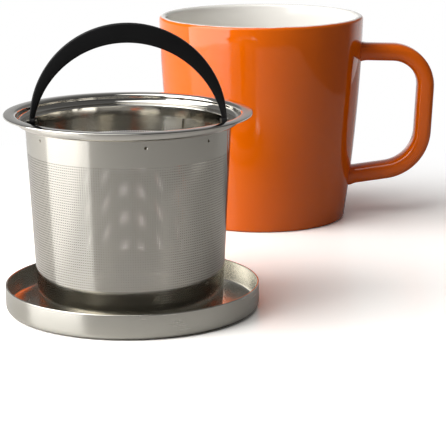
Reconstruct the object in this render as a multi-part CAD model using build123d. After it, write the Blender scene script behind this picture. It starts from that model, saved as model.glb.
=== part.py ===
from build123d import *
from math import radians, sin, cos
import os

# Tea mug with a lift-out infuser and a loose stainless lid, all in millimetres.
# The lid lies upside down on the table as a dish, the infuser stands in it, and the mug
# stands behind and to the right. Origin: centre of the lid's underside, +Z up, with the
# mug's handle towards +X.

# Lid, a shallow drawn dish
lid_height = 10.2
lid_sheet = 0.7
lid_corner = 2.4
lid_side_gap = 1.0

# Infuser rim, a drawn ring that hangs on the mug's mouth
infuser_height = 78.5
flange_width = 4.6
flange_sheet = 0.8
flange_roll = 1.2
rim_sheet = 0.5
neck_radius = 44.7
neck_straight = 0.2
shoulder_radius = 2.7
ledge_width = 1.25
skirt_depth = 4.6

# Basket, a rolled and welded sheet with a pressed floor
wall_sheet = 0.4
wall_bottom_radius = 37.05
floor_sheet = 0.4
floor_rise = 2.3
floor_flange = 5.0
floor_corner = 1.2
weld_radius = 0.65
weld_depth = 0.15
weld_drop = 2.8
weld_angles = (-117, -54, 12, 52, 113, 175)

# Bail handle, a moulded crescent that folds about two stub pins
bail_gap = 0.85
bail_apex_width = 7.7
bail_end_width = 1.7
bail_depth = 3.2
bail_edge_round = 0.6
eye_radius = 2.1
eye_width = 2.0
pivot_drop = 3.9
pin_radius = 0.8
pin_running_gap = 0.05
pin_end_play = 0.2
pin_collar_radius = 1.0
pin_head_radius = 1.2
pin_head_length = 0.6

# Where the infuser stands in the lid, from the lid's centre
infuser_x = -0.7
infuser_y = 0.2

# Mug, slip-cast stoneware
mug_x = 55.2
mug_y = 164.0
mug_height = 97.8
mug_wall = 3.5
mug_mouth_gap = 0.8
mug_base_radius = 40.6
mug_bow = 1.4
mug_floor = 6.0
mug_base_round = 1.5
mug_inner_corner = 9.0
foot_width = 4.0
foot_recess = 1.8

# Mug handle, a rounded loop luted to the body
handle_thick = 8.0
handle_wide = 12.5
handle_round = 3.0
handle_reach = 34.7
handle_top_height = 80.3
handle_bottom_height = 19.4
handle_top_fall = 0.8
handle_bottom_rise = 5.2
handle_lean = 2.2
handle_top_bend = 16.2
handle_bottom_bend = 20.5

# Sizes that follow from the ones above
flange_radius = neck_radius + flange_width
lid_radius = flange_radius + lid_side_gap + lid_sheet
infuser_base = lid_sheet
flange_top = infuser_base + infuser_height
collar_depth = flange_sheet + flange_roll - rim_sheet + neck_straight + shoulder_radius
collar_bottom = flange_top - collar_depth
shoulder_centre = neck_radius - shoulder_radius
wall_top_radius = shoulder_centre - ledge_width
skirt_inside = wall_top_radius - wall_sheet - rim_sheet
pivot_height = flange_top - pivot_drop
bail_radius = skirt_inside - bail_gap
mug_radius = neck_radius + mug_mouth_gap + mug_wall
mug_middle_radius = (mug_radius + mug_base_radius) / 2 + mug_bow


def wall_outside(height):
    """Outer radius of the tapered basket wall at a height above the table."""
    share = (height - infuser_base) / (collar_bottom - infuser_base)
    return wall_bottom_radius + (wall_top_radius - wall_bottom_radius) * share


def wall_inside(height):
    return wall_outside(height) - wall_sheet


def spun(section):
    """Full turn of a half section about the vertical axis, with its seam at the back."""
    return Rot(0, 0, 90) * revolve(section, Axis.Z)


def turned(corners, centre):
    """Solid of revolution from (radius, height, corner rounding) points."""
    points = [(radius, height) for radius, height, rounding in corners]
    roundings = [rounding for radius, height, rounding in corners]
    outline = Plane.XZ * FilletPolyline(*points, radius=roundings, close=True)
    return Pos(*centre, 0) * spun(make_face(outline))


def make_lid():
    rim_round = 0.4 * lid_sheet
    inside = lid_radius - lid_sheet
    corners = [
        (0, 0, 0),
        (lid_radius, 0, lid_corner),
        (lid_radius, lid_height, rim_round),
        (inside, lid_height, rim_round),
        (inside, lid_sheet, lid_corner - lid_sheet),
        (0, lid_sheet, 0),
    ]
    return turned(corners, (0, 0))


def make_rim():
    """Flange, neck, rounded shoulder, ledge and the skirt inside the basket wall."""
    hem_round = 0.4 * flange_sheet
    neck_inside = neck_radius - rim_sheet
    underside = flange_top - flange_sheet
    ledge_top = collar_bottom + rim_sheet
    skirt_end = collar_bottom - skirt_depth
    corners = [
        (neck_inside, flange_top, flange_roll),
        (flange_radius, flange_top, hem_round),
        (flange_radius, underside, hem_round),
        (neck_radius, underside, flange_roll - rim_sheet),
        (neck_radius, collar_bottom, shoulder_radius),
        (wall_inside(collar_bottom), collar_bottom, 0),
        (wall_inside(skirt_end), skirt_end, 0),
        (wall_inside(skirt_end) - rim_sheet, skirt_end, 0),
        (skirt_inside, ledge_top, 0),
        (neck_inside, ledge_top, shoulder_radius - rim_sheet),
    ]
    return turned(corners, (infuser_x, infuser_y))


def make_wall():
    corners = [
        (wall_outside(infuser_base), infuser_base, 0),
        (wall_outside(collar_bottom), collar_bottom, 0),
        (wall_inside(collar_bottom), collar_bottom, 0),
        (wall_inside(infuser_base), infuser_base, 0),
    ]
    return turned(corners, (infuser_x, infuser_y))


def make_weld_dents():
    """Where the electrode pressed the wall onto the skirt, measured from the basket's front."""
    height = collar_bottom - weld_drop
    dents = []
    for angle in weld_angles:
        outward = Vector(sin(radians(angle)), -cos(radians(angle)), 0)
        floor = Vector(infuser_x, infuser_y, height) + outward * (wall_outside(height) - weld_depth)
        dents.append(Solid.make_cylinder(weld_radius, 2 * wall_sheet, Plane(floor, z_dir=outward)))
    return dents


def make_floor():
    """Pressed pan with its edge turned up inside the basket wall."""
    underside = infuser_base + floor_rise
    top = underside + floor_sheet
    edge = underside + floor_flange
    corners = [
        (0, underside, 0),
        (wall_inside(underside), underside, floor_corner),
        (wall_inside(edge), edge, 0),
        (wall_inside(edge) - floor_sheet, edge, 0),
        (wall_inside(top) - floor_sheet, top, floor_corner - floor_sheet),
        (0, top, 0),
    ]
    return turned(corners, (infuser_x, infuser_y))


def along_pivot(side, start, end, radius):
    """Cylinder on the pivot axis between two distances from the infuser's axis."""
    base = Plane((infuser_x + side * start, infuser_y, pivot_height), z_dir=(side, 0, 0))
    return Solid.make_cylinder(radius, end - start, base)


def make_pin(side, rim):
    """Stub pin in the corner of ledge and skirt: collar, journal through the eye, peened head."""
    eye_inside = bail_radius - eye_width
    journal_start = eye_inside - pin_end_play
    collar_start = bail_radius + pin_end_play
    root = skirt_inside + 0.8 * rim_sheet
    rod = along_pivot(side, collar_start, root, pin_collar_radius) - rim
    collar = rod.solids().sort_by_distance((infuser_x, infuser_y, pivot_height))[0]
    journal = along_pivot(side, journal_start, collar_start, pin_radius)
    head = along_pivot(side, journal_start - pin_head_length, journal_start, pin_head_radius)
    return collar + journal + head


def make_bail():
    """Crescent between two circles, with an eye at each end on the pivot axis."""
    apex_inside = bail_radius - bail_apex_width
    end_inside = bail_radius - bail_end_width
    inner_drop = (end_inside**2 - apex_inside**2) / (2 * apex_inside)
    inner_radius = apex_inside + inner_drop
    upright = Plane((infuser_x, infuser_y, pivot_height), x_dir=(1, 0, 0), z_dir=(0, -1, 0))
    upper_half = Pos(0, bail_radius) * Rectangle(2.2 * bail_radius, 2 * bail_radius)
    outline = (Circle(bail_radius) - Pos(0, -inner_drop) * Circle(inner_radius)) & upper_half
    crescent = extrude(upright * outline, bail_depth / 2, both=True)
    long_edges = [edge for edge in crescent.edges() if edge.length > bail_radius]
    bail = fillet(long_edges, bail_edge_round)
    for side in (-1, 1):
        bail += along_pivot(side, bail_radius - eye_width, bail_radius, eye_radius)
    for side in (-1, 1):
        bore_start = bail_radius - 2 * eye_width
        bail -= along_pivot(side, bore_start, bail_radius + eye_width, pin_radius + pin_running_gap)
    return bail


def rounded(face, roundings):
    """Rounds the named corners of a flat outline drawn in the XZ plane."""
    for radius, height, rounding in roundings:
        corner = face.vertices().sort_by_distance((radius, 0, height))[0]
        face = fillet([corner], rounding)
    return face


def make_mug_outline(closed):
    """Half section of the mug: hollow, or filled where a piece is trimmed to its outside."""
    outer = ThreePointArc(
        (mug_base_radius, 0), (mug_middle_radius, mug_height / 2), (mug_radius, mug_height)
    )
    if closed:
        edges = outer + Polyline((mug_radius, mug_height), (0, mug_height), (0, 0), (mug_base_radius, 0))
        return make_face(Plane.XZ * edges)
    inner_top = mug_radius - mug_wall
    inner_bottom = mug_base_radius - mug_wall
    foot_inside = mug_base_radius - mug_base_round - foot_width
    inner = ThreePointArc(
        (inner_top, mug_height),
        (mug_middle_radius - mug_wall, (mug_height + mug_floor) / 2),
        (inner_bottom, mug_floor),
    )
    lip = Line((mug_radius, mug_height), (inner_top, mug_height))
    base = Polyline(
        (inner_bottom, mug_floor),
        (0, mug_floor),
        (0, foot_recess),
        (foot_inside - foot_recess, foot_recess),
        (foot_inside, 0),
        (mug_base_radius, 0),
    )
    face = make_face(Plane.XZ * (outer + lip + inner + base))
    lip_round = 0.45 * mug_wall
    return rounded(
        face,
        [
            (mug_base_radius, 0, mug_base_round),
            (mug_radius, mug_height, lip_round),
            (inner_top, mug_height, lip_round),
            (inner_bottom, mug_floor, mug_inner_corner),
        ],
    )


def make_mug_body():
    return Pos(mug_x, mug_y, 0) * spun(make_mug_outline(False))


def make_mug_handle():
    """Rounded bar swept round the loop and trimmed to the body's outside."""
    upright_x = mug_radius + handle_reach - handle_thick / 2
    top_start = mug_radius - mug_wall
    bottom_start = mug_base_radius
    path = FilletPolyline(
        (top_start, handle_top_height),
        (upright_x + handle_lean / 4, handle_top_height - handle_top_fall),
        (upright_x - handle_lean, handle_bottom_height + handle_bottom_rise),
        (bottom_start, handle_bottom_height),
        radius=(handle_top_bend, handle_bottom_bend),
    )
    path = Plane.XZ * path
    start = Plane(path @ 0, x_dir=(0, 1, 0), z_dir=path % 0)
    section = start * RectangleRounded(handle_wide, handle_thick, handle_round)
    bar = sweep(section, path=path)
    return Pos(mug_x, mug_y, 0) * (bar - spun(make_mug_outline(True)))


def main():
    os.makedirs("parts", exist_ok=True)
    rim = make_rim()
    wall = make_wall()
    for dent in make_weld_dents():
        wall -= dent
    pieces = {
        "lid_pan": make_lid(),
        "infuser_rim": rim,
        "basket_wall": wall,
        "basket_floor": make_floor(),
        "bail_handle": make_bail(),
        "pivot_pin_left": make_pin(-1, rim),
        "pivot_pin_right": make_pin(1, rim),
        "mug_body": make_mug_body(),
        "mug_handle": make_mug_handle(),
    }
    for name, shape in pieces.items():
        export_step(shape, f"parts/{name}.step")


main()
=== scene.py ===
import math

import bmesh
import bpy
from mathutils import Matrix, Vector


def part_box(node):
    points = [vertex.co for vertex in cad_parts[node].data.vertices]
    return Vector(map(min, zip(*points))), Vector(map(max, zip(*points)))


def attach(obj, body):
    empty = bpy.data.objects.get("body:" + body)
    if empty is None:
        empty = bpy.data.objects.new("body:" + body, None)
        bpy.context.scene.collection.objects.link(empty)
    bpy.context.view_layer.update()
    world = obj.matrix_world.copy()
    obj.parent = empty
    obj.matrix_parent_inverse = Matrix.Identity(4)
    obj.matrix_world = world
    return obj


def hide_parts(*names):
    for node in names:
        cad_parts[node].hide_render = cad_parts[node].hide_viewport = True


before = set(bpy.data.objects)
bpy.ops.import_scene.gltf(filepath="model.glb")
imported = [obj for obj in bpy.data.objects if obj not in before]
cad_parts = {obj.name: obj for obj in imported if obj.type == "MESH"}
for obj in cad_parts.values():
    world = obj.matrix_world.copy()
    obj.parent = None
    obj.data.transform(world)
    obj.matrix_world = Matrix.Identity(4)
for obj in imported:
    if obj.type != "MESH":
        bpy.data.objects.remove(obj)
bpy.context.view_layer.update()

mm = 0.001


# Mug body: a slip-cast stoneware beaker with a slightly bowed wall and a soft lip.
# The outside is dipped in glossy orange glaze, the inside and the crest of the lip in white.
# The ring that it stands on is wiped before firing, so the bare clay shows there.
def linear(hex_colour):
    """An sRGB hex colour as the linear RGBA that a shader works in."""
    channels = [int(hex_colour[start:start + 2], 16) / 255 for start in (1, 3, 5)]
    return (*[c / 12.92 if c <= 0.04045 else ((c + 0.055) / 1.055) ** 2.4 for c in channels], 1)


def live(sockets, name=None):
    """The first socket in use, or the one in use with that name or identifier."""
    return next(s for s in sockets if s.enabled and name in (None, s.name, s.identifier))


def add_node(tree, kind, inputs=(), **settings):
    """Adds a node. inputs gives each socket a value, or the node or socket that feeds it."""
    made = tree.nodes.new(kind)
    for name, value in settings.items():
        setattr(made, name, value)
    for name, value in dict(inputs).items():
        socket = live(made.inputs, name)
        if isinstance(value, bpy.types.Node):
            value = live(value.outputs)
        if isinstance(value, bpy.types.NodeSocket):
            tree.links.new(value, socket)
        else:
            socket.default_value = value
    return made


def new_material(name, **shader_inputs):
    """A material with one Principled shader. Returns the material, its tree and the shader."""
    material = bpy.data.materials.new(name)
    material.use_nodes = True
    tree = material.node_tree
    tree.nodes.clear()
    shader = add_node(tree, "ShaderNodeBsdfPrincipled", shader_inputs)
    add_node(tree, "ShaderNodeOutputMaterial", {"Surface": shader})
    return material, tree, shader


def glaze(name, colour, pooled_colour, lip_line=None, lip_colour=None):
    """Fired gloss glaze: glassy, with slow ripples, deeper in colour where it pooled. Above
    lip_line the lip's own glaze shows, along a line that wanders as a dipped edge does."""
    ripple_size, ripple_depth = 9 * mm, 0.012 * mm
    pool_size = 26 * mm
    wander_size, wander, line_blur = 7 * mm, 0.35 * mm, 0.18 * mm
    material, tree, shader = new_material(name, Roughness=0.05, IOR=1.54)
    place = live(add_node(tree, "ShaderNodeTexCoord").outputs, "Object")
    pools = add_node(tree, "ShaderNodeTexNoise", {"Vector": place, "Scale": 1 / pool_size, "Detail": 2})
    tint = add_node(tree, "ShaderNodeMix", {
        "Factor": pools, "A": linear(colour), "B": linear(pooled_colour),
    }, data_type="RGBA")
    if lip_line:
        drift = add_node(tree, "ShaderNodeTexNoise", {"Vector": place, "Scale": 1 / wander_size})
        height = live(add_node(tree, "ShaderNodeSeparateXYZ", {"Vector": place}).outputs, "Z")
        wavy = add_node(tree, "ShaderNodeMath", {
            "Value": drift, "Value_001": wander, "Value_002": height,
        }, operation="MULTIPLY_ADD")
        middle = lip_line + wander / 2
        above = add_node(tree, "ShaderNodeMapRange", {
            "Value": wavy, "From Min": middle - line_blur, "From Max": middle + line_blur,
        }, interpolation_type="SMOOTHSTEP")
        tint = add_node(tree, "ShaderNodeMix", {
            "Factor": above, "A": tint, "B": linear(lip_colour),
        }, data_type="RGBA")
    ripples = add_node(tree, "ShaderNodeTexNoise", {"Vector": place, "Scale": 1 / ripple_size, "Detail": 1})
    bump = add_node(tree, "ShaderNodeBump", {"Height": ripples, "Strength": 1, "Distance": ripple_depth})
    tree.links.new(live(tint.outputs), shader.inputs["Base Color"])
    tree.links.new(live(bump.outputs), shader.inputs["Normal"])
    return material


def bare_clay():
    """Unglazed stoneware: dull, chalky and finely gritty, with a few darker grains."""
    grit, grit_depth = 0.4 * mm, 0.03 * mm
    material, tree, shader = new_material("unglazed stoneware", Roughness=0.85)
    place = live(add_node(tree, "ShaderNodeTexCoord").outputs, "Object")
    grains = add_node(tree, "ShaderNodeTexNoise", {"Vector": place, "Scale": 1 / grit, "Detail": 3})
    colour = add_node(tree, "ShaderNodeMix", {
        "Factor": grains, "A": linear("#D9CDB8"), "B": linear("#B9AA92"),
    }, data_type="RGBA")
    bump = add_node(tree, "ShaderNodeBump", {"Height": grains, "Strength": 1, "Distance": grit_depth})
    tree.links.new(live(colour.outputs), shader.inputs["Base Color"])
    tree.links.new(live(bump.outputs), shader.inputs["Normal"])
    return material


def rounded(corners, arc_steps=5):
    """Closed outline through (x, y, rounding) corners, with an arc at each rounding."""
    outline = []
    for index, (x, y, rounding) in enumerate(corners):
        corner = Vector((x, y))
        if not rounding:
            outline.append(corner)
            continue
        back = (Vector(corners[index - 1][:2]) - corner).normalized()
        on = (Vector(corners[(index + 1) % len(corners)][:2]) - corner).normalized()
        half = back.angle(on) / 2
        centre = corner + (back + on).normalized() * rounding / math.sin(half)
        start = (corner + back * rounding / math.tan(half) - centre).normalized()
        end = (corner + on * rounding / math.tan(half) - centre).normalized()
        arms = [start.slerp(end, step / arc_steps) for step in range(arc_steps + 1)]
        outline += [centre + arm * rounding for arm in arms]
    return outline


def turned(outline, centre, steps=240):
    """Mesh of revolution about an upright axis, from a closed (radius, height) outline."""
    mesh = bmesh.new()
    rings = []
    for radius, height in outline:
        spots = steps if radius else 1
        angles = [2 * math.pi * spot / spots for spot in range(spots)]
        rings.append([
            mesh.verts.new((centre.x + radius * math.cos(a), centre.y + radius * math.sin(a), height))
            for a in angles
        ])
    for ring, following in zip(rings, rings[1:] + rings[:1]):
        for spot in range(steps):
            corners = [ring[spot % len(ring)], ring[(spot + 1) % len(ring)]]
            corners += [following[(spot + 1) % len(following)], following[spot % len(following)]]
            corners = list(dict.fromkeys(corners))
            if len(corners) > 2:
                mesh.faces.new(corners)
    return mesh


crisp_angle = math.radians(35)


def to_piece(name, mesh, *materials, sharp_above=crisp_angle):
    """Makes an object of a finished mesh, smooth but for the edges that turn sharply."""
    bmesh.ops.recalc_face_normals(mesh, faces=mesh.faces)
    data = bpy.data.meshes.new(name)
    mesh.to_mesh(data)
    mesh.free()
    data.shade_smooth()
    data.set_sharp_from_angle(angle=sharp_above)
    for material in materials:
        data.materials.append(material)
    piece = bpy.data.objects.new(name, data)
    bpy.context.scene.collection.objects.link(piece)
    return piece


def middle_of(node):
    """A node's upright axis, as the point where it meets the table."""
    low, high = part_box(node)
    return Vector(((low.x + high.x) / 2, (low.y + high.y) / 2, 0))


mug_axis = middle_of("mug_body")
mug_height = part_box("mug_body")[1].z
mug_radius = 49 * mm
mug_base_radius = 40.6 * mm
mug_bow = 1.4 * mm
mug_wall = 3.5 * mm
mug_floor = 6 * mm
mug_base_round = 1.5 * mm
mug_inner_corner = 9 * mm
foot_width = 4 * mm
foot_recess = 1.8 * mm
foot_round = 0.6 * mm
wiped_height = 0.35 * mm
wall_rings = 9
orange_line = mug_height - 0.2 * mm
ORANGE, ORANGE_POOLED, WHITE = "#EC6A00", "#E46100", "#F4F1EB"


def bow_at(share):
    """How far the wall bows out, at a share of its height."""
    return 4 * mug_bow * share * (1 - share)


def bowed(start_radius, end_radius, start_height, end_height):
    """Points up or down the mug's bowed wall, as (radius, height)."""
    points = []
    for ring in range(wall_rings + 1):
        share = ring / wall_rings
        radius = start_radius + (end_radius - start_radius) * share + bow_at(share)
        points.append((radius, start_height + (end_height - start_height) * share))
    return points


def mug_outside(height):
    """Outer radius of the mug at a height."""
    share = height / mug_height
    return mug_base_radius + (mug_radius - mug_base_radius) * share + bow_at(share)


def make_mug_body():
    lip_round = 0.45 * mug_wall
    foot_inside = mug_base_radius - mug_base_round - foot_width
    outside = bowed(mug_base_radius, mug_radius, 0, mug_height)
    inside = bowed(mug_radius - mug_wall, mug_base_radius - mug_wall, mug_height, mug_floor)
    corners = [(*point, 0) for point in outside + inside]
    corners[0] = (*outside[0], mug_base_round)
    corners[wall_rings] = (*outside[-1], lip_round)
    corners[wall_rings + 1] = (*inside[0], lip_round)
    corners[-1] = (*inside[-1], mug_inner_corner)
    corners += [
        (0, mug_floor, 0),
        (0, foot_recess, 0),
        (foot_inside - foot_recess, foot_recess, foot_round),
        (foot_inside, 0, foot_round),
    ]
    mesh = turned(rounded(corners), mug_axis)
    for face in mesh.faces:
        middle = face.calc_center_median()
        radius = (middle - mug_axis).xy.length
        if middle.z < wiped_height and radius > foot_inside - foot_recess:
            face.material_index = 2
        elif radius < mug_outside(middle.z) - mug_wall / 2:
            face.material_index = 1
    return mesh


orange_glaze = glaze("orange gloss glaze", ORANGE, ORANGE_POOLED, orange_line, WHITE)
white_glaze = glaze("white gloss glaze", WHITE, "#F0EDE6")
mug_body = to_piece("mug", make_mug_body(), orange_glaze, white_glaze, bare_clay())
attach(mug_body, "mug")
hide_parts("mug_body")


# Mug handle: a bar of the same clay with a rounded section, bent into a loop and luted to
# the wall with slip before glazing, which leaves a small fillet where it meets the body.
handle_low, handle_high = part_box("mug_handle")
handle_thick = 8 * mm
handle_wide = handle_high.y - handle_low.y
handle_round = 3 * mm
handle_top = mug_height - 17.5 * mm
handle_bottom = 19.4 * mm
handle_top_fall = 0.8 * mm
handle_bottom_rise = 5.2 * mm
handle_lean = 2.2 * mm
handle_reach = 34.7 * mm
handle_top_bend, handle_bottom_bend = 16.2 * mm, 20.5 * mm
handle_root = 0.7 * mug_wall
handle_ring_gap = 1.2 * mm
fillet_grow, fillet_reach = 0.5 * mm, 3 * mm


def loft(rings, closed=False):
    """Mesh skinned over rings of equally many points, with its ends capped or joined."""
    mesh = bmesh.new()
    made = [[mesh.verts.new(point) for point in ring] for ring in rings]
    following = made[1:] + made[:1] if closed else made[1:]
    for ring, onward in zip(made, following):
        for spot in range(len(ring)):
            mesh.faces.new((ring[spot - 1], ring[spot], onward[spot], onward[spot - 1]))
    if not closed:
        mesh.faces.new(made[0])
        mesh.faces.new(reversed(made[-1]))
    return mesh


def handle_line():
    """The handle's centre line as (distance from the mug's axis, height) points."""
    upright = mug_radius + handle_reach - handle_thick / 2
    corners = [
        (mug_outside(handle_top) - handle_root, handle_top, 0),
        (upright + handle_lean / 4, handle_top - handle_top_fall, handle_top_bend),
        (upright - handle_lean, handle_bottom + handle_bottom_rise, handle_bottom_bend),
        (mug_outside(handle_bottom) - handle_root, handle_bottom, 0),
    ]
    return rounded(corners, arc_steps=18)


def evenly(line, spacing):
    """The same line with points no further apart than spacing."""
    points = [line[0]]
    for start, end in zip(line, line[1:]):
        steps = math.ceil((end - start).length / spacing)
        points += [start.lerp(end, step / steps) for step in range(1, steps + 1)]
    return points


def make_handle():
    half_wide, half_thick = handle_wide / 2, handle_thick / 2
    line = evenly(handle_line(), handle_ring_gap)
    rings = []
    for index, point in enumerate(line):
        ahead = line[min(index + 1, len(line) - 1)] - line[max(index - 1, 0)]
        across = Vector((-ahead.y, ahead.x)).normalized()
        gap = max(point.x - mug_outside(point.y), 0)
        grow = fillet_grow * max(1 - gap / fillet_reach, 0) ** 2
        wide, thick, corner = half_wide + grow, half_thick + grow, handle_round + grow / 2
        section = rounded([
            (-wide, -thick, corner), (wide, -thick, corner), (wide, thick, corner), (-wide, thick, corner),
        ])
        rings.append([
            mug_axis + Vector((point.x + across.x * out, side, point.y + across.y * out))
            for side, out in section
        ])
    return loft(rings)


mug_handle = to_piece("mug_loop", make_handle(), orange_glaze, sharp_above=math.radians(60))
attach(mug_handle, "mug")
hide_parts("mug_handle")


# Lid: a shallow dish drawn from one stainless sheet, with a low upright wall. It lies
# upside down here, as a saucer for the infuser. Polished on a lathe to a satin finish.
lid_axis = middle_of("lid_pan")
lid_low, lid_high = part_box("lid_pan")
lid_radius = (lid_high.x - lid_low.x) / 2
lid_sheet = 0.7 * mm
lid_corner = 2.4 * mm


def stainless(name, axis, colour, roughness, mark_width, mark_depth):
    """Stainless steel that was polished while it turned: a neutral grey mirror, blurred by
    fine marks that run round the axis, with cloudier and clearer patches."""
    mark_turns = 3
    patch_size, patch_share = 18 * mm, 0.3
    noise_low, noise_high = 0.3, 0.7
    material, tree, shader = new_material(name, Metallic=1)
    shader.inputs["Base Color"].default_value = linear(colour)
    place = live(add_node(tree, "ShaderNodeTexCoord").outputs, "Object")
    place = add_node(tree, "ShaderNodeMapping", {"Vector": place, "Location": -axis})
    flat = add_node(tree, "ShaderNodeVectorMath", {
        "Vector": place, "Vector_001": (1, 1, 0),
    }, operation="MULTIPLY")
    radius = live(add_node(tree, "ShaderNodeVectorMath", {"Vector": flat}, operation="LENGTH").outputs)
    height = live(add_node(tree, "ShaderNodeSeparateXYZ", {"Vector": place}).outputs, "Z")
    across = add_node(tree, "ShaderNodeMath", {"Value": radius, "Value_001": height}, operation="ADD")
    across = add_node(tree, "ShaderNodeMath", {
        "Value": across, "Value_001": 1 / mark_width,
    }, operation="MULTIPLY")
    across = add_node(tree, "ShaderNodeCombineXYZ", {"Z": across})
    around = add_node(tree, "ShaderNodeVectorMath", {"Vector": flat}, operation="NORMALIZE")
    around = add_node(tree, "ShaderNodeVectorMath", {
        "Vector": around, "Scale": mark_turns,
    }, operation="SCALE")
    lengthwise = add_node(tree, "ShaderNodeVectorMath", {
        "Vector": around, "Vector_001": across,
    }, operation="ADD")
    marks = add_node(tree, "ShaderNodeTexNoise", {"Vector": lengthwise, "Scale": 1, "Detail": 3})
    patches = add_node(tree, "ShaderNodeTexNoise", {"Vector": place, "Scale": 1 / patch_size, "Detail": 3})
    blend = add_node(tree, "ShaderNodeMix", {"Factor": 0.5, "A": marks, "B": patches})
    blur = add_node(tree, "ShaderNodeMapRange", {
        "Value": blend, "From Min": noise_low, "From Max": noise_high,
        "To Min": roughness * (1 - patch_share), "To Max": roughness * (1 + patch_share),
    })
    bump = add_node(tree, "ShaderNodeBump", {"Height": marks, "Strength": 1, "Distance": mark_depth})
    tree.links.new(live(blur.outputs), shader.inputs["Roughness"])
    tree.links.new(live(bump.outputs), shader.inputs["Normal"])
    return material


def make_lid():
    rim_round = 0.45 * lid_sheet
    inside = lid_radius - lid_sheet
    corners = [
        (0, 0, 0),
        (lid_radius, 0, lid_corner),
        (lid_radius, lid_high.z, rim_round),
        (inside, lid_high.z, rim_round),
        (inside, lid_sheet, lid_corner - lid_sheet),
        (0, lid_sheet, 0),
    ]
    return turned(rounded(corners, arc_steps=8), lid_axis)


satin_steel = stainless("satin stainless steel", lid_axis, "#D2CFC6", 0.22, 0.5 * mm, 0.0015 * mm)
lid = to_piece("lid", make_lid(), satin_steel)
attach(lid, "lid")
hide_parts("lid_pan")


# Basket wall: stainless sheet, etched through with rows of fine square holes, rolled into
# a slight taper and spot-welded along a narrow lap. A plain band is left at each end, and
# the upper one is spot-welded to the rim's skirt, where each weld leaves a dark dent.
infuser_axis = middle_of("infuser_rim")
wall_low, wall_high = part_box("basket_wall")
wall_top_radius = (wall_high.x - wall_low.x) / 2
wall_bottom_radius = 37.05 * mm
wall_sheet = 0.4 * mm
etched_from, etched_to = 10 * mm, 64.6 * mm
hole_pitch, hole_share = 1 * mm, 0.4
seam_angle, seam_margin, lap_gap = 149.4, 0.65 * mm, 0.02 * mm
weld_angles, weld_radius = (-117, -54, 12, 52, 113, 175), 0.65 * mm
weld_depth = 0.15 * mm
weld_height = wall_high.z - 2.8 * mm
weld_block = 1.8 * mm
sector_cuts = {
    "basket_front": (-88, 92),
    "basket_right": (92, seam_angle),
    "basket_left": (seam_angle - 360, -88),
}


def sheet_columns():
    """Where the flat sheet's columns meet, as (way round from the front, lift off the roll).
    The last one climbs over the first, as the lapped edge does."""
    around = 2 * math.pi * wall_top_radius
    start = math.radians(seam_angle) * wall_top_radius - around
    first, last = start + seam_margin, start + around - seam_margin
    count = round((last - first) / hole_pitch)
    columns = [(start, 0)]
    columns += [(first + (last - first) * step / count, 0) for step in range(count + 1)]
    lifted = wall_sheet + lap_gap
    columns += [(last + seam_margin, lifted), (last + 2 * seam_margin, lifted)]
    return columns


def flat_sheet(columns):
    """The blank before it is rolled, x round the basket and y up it, holes marked but not cut."""
    rows = [wall_low.z, (wall_low.z + etched_from) / 2]
    etched_rows = round((etched_to - etched_from) / hole_pitch)
    rows += [etched_from + (etched_to - etched_from) * row / etched_rows for row in range(etched_rows + 1)]
    rows += [weld_height - weld_block / 2, weld_height + weld_block / 2, wall_high.z]
    mesh = bmesh.new()
    etched = mesh.faces.layers.bool.new("etched")
    grid = [[mesh.verts.new((across, height, lift)) for across, lift in columns] for height in rows]
    for lower, upper in zip(grid, grid[1:]):
        for index in range(len(columns) - 1):
            face = mesh.faces.new((lower[index], lower[index + 1], upper[index + 1], upper[index]))
            middle = face.calc_center_median()
            too_narrow = columns[index + 1][0] - columns[index][0] < 0.8 * hole_pitch
            face[etched] = etched_from < middle.y < etched_to and not too_narrow
    return mesh


def press_welds(mesh, first, last):
    """Presses a dent into the flat blank at each weld between two places along it."""
    scorched = mesh.faces.layers.float.new("scorched")
    for angle in weld_angles:
        across = math.radians(angle) * wall_top_radius
        if not first < across < last:
            continue
        block = [
            face for face in mesh.faces
            if abs(face.calc_center_median().y - weld_height) < weld_block / 4
            and abs(face.calc_center_median().x - across) < weld_radius + hole_pitch
        ]
        opening = [e for face in block for e in face.edges if sum(f in block for f in e.link_faces) == 1]
        bmesh.ops.delete(mesh, geom=block, context="FACES")
        dent = bmesh.ops.create_circle(
            mesh, cap_ends=True, radius=weld_radius, segments=24,
            matrix=Matrix.Translation((across, weld_height, 0)),
        )
        pressed = dent["verts"][0].link_faces[0]
        sides = bmesh.ops.inset_individual(mesh, faces=[pressed], thickness=weld_depth)["faces"]
        ring = [e for face in sides for e in face.edges if e.is_boundary]
        pressed[scorched] = 1
        for corner in pressed.verts:
            corner.co.z = -weld_depth
        bmesh.ops.triangle_fill(
            mesh, use_beauty=True, use_dissolve=False, edges=opening + ring, normal=(0, 0, 1),
        )


def new_tree(name, **inputs):
    """An empty Geometry Nodes tree with named inputs. Returns the tree and its input node."""
    tree = bpy.data.node_groups.new(name, "GeometryNodeTree")
    for label, kind in inputs.items():
        label = label.replace("_", " ")
        tree.interface.new_socket(label, in_out="INPUT", socket_type=f"NodeSocket{kind}")
    tree.interface.new_socket("Geometry", in_out="OUTPUT", socket_type="NodeSocketGeometry")
    return tree, add_node(tree, "NodeGroupInput")


def end_tree(tree, geometry, steel):
    """Crisp edges, real geometry and the material: what every tree here ends in."""
    turn = live(add_node(tree, "GeometryNodeInputMeshEdgeAngle").outputs)
    crisp = add_node(tree, "FunctionNodeCompare", {"A": turn, "B": crisp_angle})
    smooth = add_node(tree, "GeometryNodeSetShadeSmooth", {"Geometry": geometry, "Shade Smooth": True})
    edged = add_node(tree, "GeometryNodeSetShadeSmooth", {
        "Geometry": smooth, "Selection": crisp, "Shade Smooth": False,
    }, domain="EDGE")
    real = add_node(tree, "GeometryNodeRealizeInstances", {"Geometry": edged})
    finish = add_node(tree, "GeometryNodeSetMaterial", {"Geometry": real, "Material": steel})
    add_node(tree, "NodeGroupOutput", {"Geometry": finish})


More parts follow.
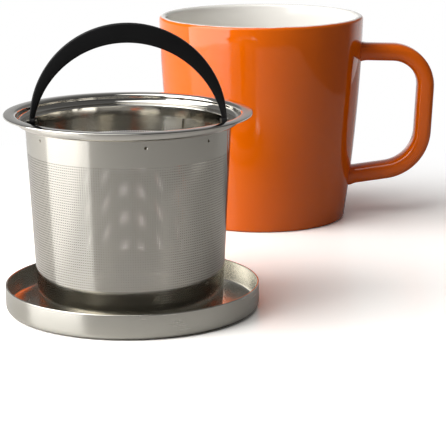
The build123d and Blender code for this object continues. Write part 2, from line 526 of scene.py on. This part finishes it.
def rolling_tree():
    """Etches the marked faces through, rolls the flat sheet into the taper and thickens it."""
    tree, given = new_tree(
        "etched sheet, rolled", Geometry="Geometry", Hole_Share="Float", Sheet="Float",
        Bottom_Height="Float", Top_Height="Float", Bottom_Radius="Float", Top_Radius="Float",
        Axis="Vector", Steel="Material",
    )
    marked = add_node(tree, "GeometryNodeInputNamedAttribute", {"Name": "etched"}, data_type="BOOLEAN")
    holes = add_node(tree, "GeometryNodeExtrudeMesh", {
        "Mesh": live(given.outputs, "Geometry"), "Selection": marked, "Offset Scale": 0,
        "Individual": True,
    }, mode="FACES")
    top = live(holes.outputs, "Top")
    framed = add_node(tree, "GeometryNodeScaleElements", {
        "Geometry": holes, "Selection": top, "Scale": live(given.outputs, "Hole Share"),
    }, domain="FACE")
    pierced = add_node(tree, "GeometryNodeDeleteGeometry", {
        "Geometry": framed, "Selection": top,
    }, domain="FACE")
    place = add_node(tree, "ShaderNodeSeparateXYZ", {"Vector": add_node(tree, "GeometryNodeInputPosition")})
    height, lift = live(place.outputs, "Y"), live(place.outputs, "Z")
    angle = add_node(tree, "ShaderNodeMath", {
        "Value": live(place.outputs, "X"), "Value_001": live(given.outputs, "Top Radius"),
    }, operation="DIVIDE")
    taper = add_node(tree, "ShaderNodeMapRange", {
        "Value": height,
        "From Min": live(given.outputs, "Bottom Height"), "From Max": live(given.outputs, "Top Height"),
        "To Min": live(given.outputs, "Bottom Radius"), "To Max": live(given.outputs, "Top Radius"),
    }, clamp=False)
    radius = add_node(tree, "ShaderNodeMath", {"Value": taper, "Value_001": lift}, operation="ADD")
    forward = add_node(tree, "ShaderNodeMath", {
        "Value": add_node(tree, "ShaderNodeMath", {"Value": angle}, operation="COSINE"),
        "Value_001": radius,
    }, operation="MULTIPLY")
    right = add_node(tree, "ShaderNodeMath", {
        "Value": add_node(tree, "ShaderNodeMath", {"Value": angle}, operation="SINE"),
        "Value_001": radius,
    }, operation="MULTIPLY")
    back = add_node(tree, "ShaderNodeMath", {"Value": forward, "Value_001": -1}, operation="MULTIPLY")
    around = add_node(tree, "ShaderNodeCombineXYZ", {"X": right, "Y": back, "Z": height})
    spot = add_node(tree, "ShaderNodeVectorMath", {
        "Vector": around, "Vector_001": live(given.outputs, "Axis"),
    }, operation="ADD")
    rolled = add_node(tree, "GeometryNodeSetPosition", {"Geometry": pierced, "Position": spot})
    inward = add_node(tree, "GeometryNodeFlipFaces", {"Mesh": rolled})
    thick = add_node(tree, "GeometryNodeExtrudeMesh", {
        "Mesh": inward, "Offset Scale": live(given.outputs, "Sheet"), "Individual": False,
    }, mode="FACES")
    both = add_node(tree, "GeometryNodeJoinGeometry", {"Geometry": rolled})
    tree.links.new(live(thick.outputs), both.inputs["Geometry"])
    closed = add_node(tree, "GeometryNodeMergeByDistance", {"Geometry": both, "Distance": 0.001 * mm})
    end_tree(tree, closed, live(given.outputs, "Steel"))
    return tree


def shape_with(piece, tree, **values):
    """Runs a tree on a piece with its named inputs set, and keeps the mesh that comes out."""
    modifier = piece.modifiers.new(tree.name, "NODES")
    modifier.node_group = tree
    for socket in tree.interface.items_tree:
        label = socket.name.replace(" ", "_")
        if socket.in_out == "INPUT" and label in values:
            modifier[socket.identifier] = values[label]
    graph = bpy.context.evaluated_depsgraph_get()
    shaped = bpy.data.meshes.new_from_object(piece.evaluated_get(graph))
    piece.modifiers.clear()
    piece.data = shaped
    return piece


def scorch(material, attribute):
    """Where an attribute is 1, the steel is browned and roughened by the weld's heat."""
    scorched_colour, scorched_roughness = "#5E5648", 0.45
    tree = material.node_tree
    shader = next(node for node in tree.nodes if node.type == "BSDF_PRINCIPLED")
    mark = live(add_node(tree, "ShaderNodeAttribute", attribute_name=attribute).outputs, "Fac")
    colour = add_node(tree, "ShaderNodeMix", {
        "Factor": mark, "A": shader.inputs["Base Color"].default_value[:], "B": linear(scorched_colour),
    }, data_type="RGBA")
    blur = shader.inputs["Roughness"].links[0].from_socket
    rougher = add_node(tree, "ShaderNodeMix", {"Factor": mark, "A": blur, "B": scorched_roughness})
    tree.links.new(live(colour.outputs), shader.inputs["Base Color"])
    tree.links.new(live(rougher.outputs), shader.inputs["Roughness"])
    return material


etched_steel = scorch(
    stainless("etched stainless steel", infuser_axis, "#C6C3BB", 0.12, 0.4 * mm, 0.001 * mm), "scorched",
)
rolling = rolling_tree()
for sector, (cut_from, cut_to) in sector_cuts.items():
    low_cut, high_cut = (math.radians(cut) * wall_top_radius for cut in (cut_from, cut_to))
    at_seam = cut_to == seam_angle
    columns = [
        column for column in sheet_columns()
        if low_cut - hole_pitch / 2 < column[0] and (at_seam or column[0] < high_cut + hole_pitch / 2)
    ]
    blank = flat_sheet(columns)
    press_welds(blank, low_cut, high_cut)
    wall = shape_with(
        to_piece(sector, blank), rolling, Hole_Share=hole_share, Sheet=wall_sheet,
        Bottom_Height=wall_low.z, Top_Height=wall_high.z,
        Bottom_Radius=wall_bottom_radius, Top_Radius=wall_top_radius,
        Axis=infuser_axis, Steel=etched_steel,
    )
    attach(wall, "infuser")
    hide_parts("basket_wall")


# Basket floor: a pressed pan of the same etched sheet. Its edge is turned up inside the
# wall and spot-welded there, and the flat is pierced with the same fine holes.
floor_low, floor_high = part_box("basket_floor")
floor_sheet = 0.4 * mm
floor_corner = 1.2 * mm
pierced_radius = 33.5 * mm
punch_length = 4 * floor_sheet


def wall_inside(height):
    """Inner radius of the tapered wall at a height."""
    share = (height - wall_low.z) / (wall_high.z - wall_low.z)
    return wall_bottom_radius + (wall_top_radius - wall_bottom_radius) * share - wall_sheet


def make_pan():
    under, edge = floor_low.z, floor_high.z
    top = under + floor_sheet
    corners = [
        (0, under, 0),
        (wall_inside(under), under, floor_corner),
        (wall_inside(edge), edge, 0),
        (wall_inside(edge) - floor_sheet, edge, 0),
        (wall_inside(top) - floor_sheet, top, floor_corner - floor_sheet),
        (0, top, 0),
    ]
    return turned(rounded(corners), infuser_axis)


def piercing_tree():
    """Cuts a square grid of square holes through the flat of a pan, as far out as a radius."""
    tree, given = new_tree(
        "pierced flat", Geometry="Geometry", Pitch="Float", Hole="Float", Reach="Float",
        Axis="Vector", Steel="Material",
    )
    reach = live(given.outputs, "Reach")
    side = add_node(tree, "ShaderNodeMath", {"Value": reach, "Value_001": 2}, operation="MULTIPLY")
    count = add_node(tree, "ShaderNodeMath", {
        "Value": side, "Value_001": live(given.outputs, "Pitch"),
    }, operation="DIVIDE")
    grid = add_node(tree, "GeometryNodeMeshGrid", {
        "Size X": side, "Size Y": side, "Vertices X": count, "Vertices Y": count,
    })
    away = add_node(tree, "ShaderNodeVectorMath", {
        "Vector": add_node(tree, "GeometryNodeInputPosition"),
    }, operation="LENGTH")
    outside = add_node(tree, "FunctionNodeCompare", {"A": away, "B": reach})
    centres = add_node(tree, "GeometryNodeDeleteGeometry", {
        "Geometry": grid, "Selection": outside,
    }, domain="POINT")
    moved = add_node(tree, "GeometryNodeSetPosition", {
        "Geometry": centres, "Offset": live(given.outputs, "Axis"),
    })
    hole = live(given.outputs, "Hole")
    size = add_node(tree, "ShaderNodeCombineXYZ", {"X": hole, "Y": hole, "Z": punch_length})
    punch = add_node(tree, "GeometryNodeMeshCube", {"Size": size})
    punches = add_node(tree, "GeometryNodeInstanceOnPoints", {"Points": moved, "Instance": punch})
    solid = add_node(tree, "GeometryNodeRealizeInstances", {"Geometry": punches})
    pierced = add_node(tree, "GeometryNodeMeshBoolean", {
        "Mesh 1": live(given.outputs, "Geometry"), "Mesh 2": solid,
    }, operation="DIFFERENCE", solver="MANIFOLD")
    end_tree(tree, pierced, live(given.outputs, "Steel"))
    return tree


basket_floor = shape_with(
    to_piece("basket_bottom", make_pan()), piercing_tree(), Pitch=hole_pitch,
    Hole=hole_share * hole_pitch, Reach=pierced_radius,
    Axis=infuser_axis + Vector((0, 0, floor_low.z + floor_sheet / 2)), Steel=etched_steel,
)
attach(basket_floor, "infuser")
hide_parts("basket_floor")


# Infuser rim: a ring drawn from thicker sheet, with a flat flange that hangs on the mug's
# mouth, a neck, a rounded shoulder and a skirt spot-welded inside the wall. Bright polished.
rim_low, rim_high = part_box("infuser_rim")
flange_radius = (rim_high.x - rim_low.x) / 2
flange_top = rim_high.z
flange_sheet = 0.8 * mm
flange_roll = 1.2 * mm
rim_sheet = 0.5 * mm
neck_radius = flange_radius - 4.6 * mm
shoulder_radius = 2.7 * mm
ledge_round = 0.5 * mm
collar_bottom = wall_high.z


def make_rim():
    hem_round = 0.4 * flange_sheet
    neck_inside = neck_radius - rim_sheet
    underside = flange_top - flange_sheet
    ledge_top = collar_bottom + rim_sheet
    skirt_inside = wall_inside(collar_bottom) - rim_sheet
    skirt_end = rim_low.z
    corners = [
        (neck_inside, flange_top, flange_roll),
        (flange_radius, flange_top, hem_round),
        (flange_radius, underside, hem_round),
        (neck_radius, underside, flange_roll - rim_sheet),
        (neck_radius, collar_bottom, shoulder_radius),
        (wall_inside(collar_bottom), collar_bottom, 0),
        (wall_inside(skirt_end), skirt_end, 0),
        (wall_inside(skirt_end) - rim_sheet, skirt_end, 0),
        (skirt_inside, ledge_top, ledge_round),
        (neck_inside, ledge_top, shoulder_radius - rim_sheet),
    ]
    return turned(rounded(corners, arc_steps=8), infuser_axis, steps=300)


bright_steel = stainless("bright stainless steel", infuser_axis, "#CECBC4", 0.09, 0.35 * mm, 0.0006 * mm)
rim = to_piece("infuser_ring", make_rim(), bright_steel)
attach(rim, "infuser")
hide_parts("infuser_rim")


# Pivot pins: short turned stainless studs, welded into the corner of ledge and skirt and
# peened over on the inside of the bail's eyes. Their steel is coloured dark and dull as painted
# shade for the shadow under the flange, which also hides their highlight. Their shape is the CAD model's
# own.
# Painted shade: this dark, dull steel stands in for the shadow under the flange.
shade_painted_steel = stainless("weld-darkened stainless steel", infuser_axis, "#6E6A62", 0.35, 0.3 * mm, 0.002 * mm)
for side in ("left", "right"):
    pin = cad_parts[f"pivot_pin_{side}"]
    pin.data.materials.clear()
    pin.data.materials.append(shade_painted_steel)


# Bail: a flat crescent moulded in black nylon, widest at its top, with softly rounded
# edges and an eye at each end that turns on a pin. Spark-eroded moulds give it fine grain.
bail_low, bail_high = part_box("bail_handle")
bail_radius = (bail_high.x - bail_low.x) / 2
pivot = Vector((infuser_axis.x, infuser_axis.y, bail_high.z - bail_radius))
bail_depth = 3.2 * mm
bail_apex_width, bail_end_width = 7.7 * mm, 1.7 * mm
bail_edge_round = 0.6 * mm
eye_radius, eye_width, eye_bore = 2.1 * mm, 2 * mm, 0.85 * mm


def black_nylon():
    """Glass-filled nylon, moulded: near black, half matt, with a fine spark-eroded grain."""
    grain, grain_depth = 0.35 * mm, 0.02 * mm
    rub_size, smoothest, roughest = 12 * mm, 0.38, 0.52
    material, tree, shader = new_material("black moulded nylon", IOR=1.5)
    shader.inputs["Specular IOR Level"].default_value = 0.24
    place = live(add_node(tree, "ShaderNodeTexCoord").outputs, "Object")
    pits = add_node(tree, "ShaderNodeTexNoise", {"Vector": place, "Scale": 1 / grain, "Detail": 2})
    colour = add_node(tree, "ShaderNodeMix", {
        "Factor": pits, "A": linear("#060607"), "B": linear("#0D0D0E"),
    }, data_type="RGBA")
    rub = add_node(tree, "ShaderNodeTexNoise", {"Vector": place, "Scale": 1 / rub_size, "Detail": 2})
    blur = add_node(tree, "ShaderNodeMapRange", {"Value": rub, "To Min": smoothest, "To Max": roughest})
    bump = add_node(tree, "ShaderNodeBump", {"Height": pits, "Strength": 1, "Distance": grain_depth})
    tree.links.new(live(colour.outputs), shader.inputs["Base Color"])
    tree.links.new(live(blur.outputs), shader.inputs["Roughness"])
    tree.links.new(live(bump.outputs), shader.inputs["Normal"])
    return material


def make_bail():
    apex_inside, end_inside = bail_radius - bail_apex_width, bail_radius - bail_end_width
    inner_drop = (end_inside ** 2 - apex_inside ** 2) / (2 * apex_inside)
    inner_radius = apex_inside + inner_drop
    steps = 120
    rings = []
    for step in range(steps + 1):
        angle = math.pi * step / steps
        along = Vector((math.cos(angle), math.sin(angle)))
        inner = math.sqrt(inner_radius ** 2 - (inner_drop * along.x) ** 2) - inner_drop * along.y
        half = bail_depth / 2
        section = rounded([
            (inner, -half, bail_edge_round), (bail_radius, -half, bail_edge_round),
            (bail_radius, half, bail_edge_round), (inner, half, bail_edge_round),
        ])
        rings.append([pivot + Vector((along.x * out, depth, along.y * out)) for out, depth in section])
    return loft(rings)


def rods(radius, start, end):
    """A rod on the pivot axis at each side, between two distances from the infuser's axis."""
    mesh = bmesh.new()
    for side in (-1, 1):
        place = pivot + Vector((side * (start + end) / 2, 0, 0))
        bmesh.ops.create_cone(
            mesh, cap_ends=True, segments=48, radius1=radius, radius2=radius, depth=end - start,
            matrix=Matrix.Translation(place) @ Matrix.Rotation(math.pi / 2, 4, "Y"),
        )
    return mesh


def cut(piece, cutter, operation="DIFFERENCE"):
    """Cuts a piece with another solid, or joins the two, and removes the other."""
    modifier = piece.modifiers.new("cut", "BOOLEAN")
    modifier.operation = operation
    modifier.solver = "EXACT"
    modifier.object = cutter
    graph = bpy.context.evaluated_depsgraph_get()
    shaped = bpy.data.meshes.new_from_object(piece.evaluated_get(graph))
    piece.modifiers.clear()
    piece.data = shaped
    bpy.data.objects.remove(cutter)
    shaped.set_sharp_from_angle(angle=crisp_angle)


bail = to_piece("bail", make_bail(), black_nylon())
cut(bail, to_piece("eyes", rods(eye_radius, bail_radius - eye_width, bail_radius)), "UNION")
cut(bail, to_piece("bores", rods(eye_bore, bail_radius - 2 * eye_width, bail_radius + eye_width)))
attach(bail, "bail")
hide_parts("bail_handle")


# Table and backdrop: a pale satin laminate top in front of a white paper backdrop, in a room
# that is otherwise dark. The lens sees white all round, into which the table's edges fade,
# but the table keeps the shadows and the faint mirror images that lie on it. For all but the lens,
# the table's colour is painted lighter at the back left: a painted pool of light from the soft box.
table_left, table_right, table_front, table_back = -0.42, 0.345, -0.36, 0.7
table_corner = 0.06
table_drop = 0.05 * mm


def table_top():
    lens_gain = 3.3
    # Painted light: the table's colour is raised towards the back left, where the soft box's light would
    # pool.
    painted_light_way = (-0.8, 0.6, 0)
    painted_light_from, painted_light_to, painted_light_gain = 0.03, 0.1, 1.6
    white_from, white_to = 0.2, 0.36
    material, tree, shader = new_material("pale satin laminate", Roughness=0.24, IOR=1.5)
    lens = live(add_node(tree, "ShaderNodeLightPath").outputs, "Is Camera Ray")
    place = live(add_node(tree, "ShaderNodeTexCoord").outputs, "Object")
    back_left = add_node(tree, "ShaderNodeVectorMath", {
        "Vector": place, "Vector_001": painted_light_way,
    }, operation="DOT_PRODUCT")
    painted_light = add_node(tree, "ShaderNodeMapRange", {
        "Value": back_left, "From Min": painted_light_from, "From Max": painted_light_to, "To Min": 1, "To Max": painted_light_gain,
    }, interpolation_type="SMOOTHSTEP")
    gain = add_node(tree, "ShaderNodeMix", {"Factor": lens, "A": painted_light, "B": lens_gain})
    paint = add_node(tree, "ShaderNodeVectorMath", {
        "Vector": linear("#BCBAB7")[:3], "Scale": gain,
    }, operation="SCALE")
    tree.links.new(live(paint.outputs), shader.inputs["Base Color"])
    away = live(add_node(tree, "ShaderNodeVectorMath", {"Vector": place}, operation="LENGTH").outputs)
    far = add_node(tree, "ShaderNodeMapRange", {
        "Value": away, "From Min": white_from, "From Max": white_to,
    }, interpolation_type="SMOOTHSTEP")
    fade = add_node(tree, "ShaderNodeMath", {"Value": far, "Value_001": lens}, operation="MULTIPLY")
    output = live(shader.outputs).links[0].to_node
    white = add_node(tree, "ShaderNodeEmission", {"Strength": 1})
    mixed = add_node(tree, "ShaderNodeMixShader", {"Fac": fade, "Shader": shader, "Shader_001": white})
    tree.links.new(live(mixed.outputs), output.inputs["Surface"])
    return material


table_mesh = bmesh.new()
table_mesh.faces.new([
    table_mesh.verts.new((x, y, -table_drop))
    for x, y in rounded([
        (table_left, table_front, table_corner), (table_right, table_front, table_corner),
        (table_right, table_back, table_corner), (table_left, table_back, table_corner),
    ])
])
table = to_piece("table", table_mesh, table_top())

backdrop_level, dark_level = 1, 0.11
backdrop_turn = math.radians(20)
backdrop_way = (-math.sin(backdrop_turn), math.cos(backdrop_turn), 0)
paper_from, paper_to = 0.05, 0.45
fade_low, fade_high, high_level = -0.04, 0.28, 0.2
room = bpy.data.worlds.new("white backdrop in a dark room")
room.use_nodes = True
room.node_tree.nodes.clear()
bpy.context.scene.world = room
way = live(add_node(room.node_tree, "ShaderNodeTexCoord").outputs, "Generated")
towards_paper = add_node(room.node_tree, "ShaderNodeVectorMath", {
    "Vector": way, "Vector_001": backdrop_way,
}, operation="DOT_PRODUCT")
height = live(add_node(room.node_tree, "ShaderNodeSeparateXYZ", {"Vector": way}).outputs, "Z")
paper_level = add_node(room.node_tree, "ShaderNodeMapRange", {
    "Value": height, "From Min": fade_low, "From Max": fade_high,
    "To Min": backdrop_level, "To Max": high_level,
}, interpolation_type="SMOOTHSTEP")
paper = add_node(room.node_tree, "ShaderNodeMapRange", {
    "Value": towards_paper, "From Min": paper_from, "From Max": paper_to,
    "To Min": dark_level, "To Max": paper_level,
}, interpolation_type="SMOOTHSTEP")
lens = live(add_node(room.node_tree, "ShaderNodeLightPath").outputs, "Is Camera Ray")
level = add_node(room.node_tree, "ShaderNodeMix", {"Factor": lens, "A": paper, "B": 1.0})
sky = add_node(room.node_tree, "ShaderNodeBackground", {"Color": (1, 1, 1, 1), "Strength": level})
add_node(room.node_tree, "ShaderNodeOutputWorld", {"Surface": sky})


# Lamps: a tall soft box stands on the left, down past the table's edge. Its upright edges
# show in the steel and the glaze. A wide one hangs high on the left and opens the shadows.
def soft_box(name, middle, facing, width, height, radiance):
    """A flat lamp that faces a direction, with the brightness that its face shows."""
    lamp = bpy.data.lights.new(name, "AREA")
    lamp.shape = "RECTANGLE"
    lamp.size, lamp.size_y = width, height
    lamp.energy = radiance * math.pi * width * height
    holder = bpy.data.objects.new(name, lamp)
    holder.location = middle
    holder.rotation_euler = facing.to_track_quat("-Z", "Y").to_euler()
    holder.visible_camera = False
    bpy.context.scene.collection.objects.link(holder)


near_edge, far_edge = Vector((-300, -350, 0)) * mm, Vector((-725, 120, 0)) * mm
key_bottom, key_top = -0.3, 0.9
key_width, key_height = (far_edge - near_edge).length, key_top - key_bottom
key_middle = (near_edge + far_edge) / 2 + Vector((0, 0, (key_bottom + key_top) / 2))
key_facing = (far_edge - near_edge).cross(Vector((0, 0, 1))).normalized()
soft_box("left soft box", key_middle, key_facing, key_width, key_height, radiance=3.65)

top_middle, top_side = Vector((-520, -200, 960)) * mm, 1.3
top_target = Vector((0, 60, 50)) * mm
soft_box("top soft box", top_middle, top_target - top_middle, top_side, top_side, radiance=2.15)


# Camera: a long lens, a little above the infuser's rim, tipped down.
camera_place = Vector((36.59, -715.57, 202.28)) * mm
camera_tip, camera_roll = 13.18, -0.19
long_lens = bpy.data.cameras.new("camera")
long_lens.lens, long_lens.sensor_width = 148.1, 36
camera = bpy.data.objects.new("camera", long_lens)
camera.location = camera_place
aim = Matrix.Rotation(math.radians(90 - camera_tip), 3, "X")
camera.rotation_euler = (aim @ Matrix.Rotation(math.radians(camera_roll), 3, "Z")).to_euler()
bpy.context.scene.collection.objects.link(camera)
bpy.context.scene.camera = camera
bpy.context.scene.view_settings.view_transform = "Standard"
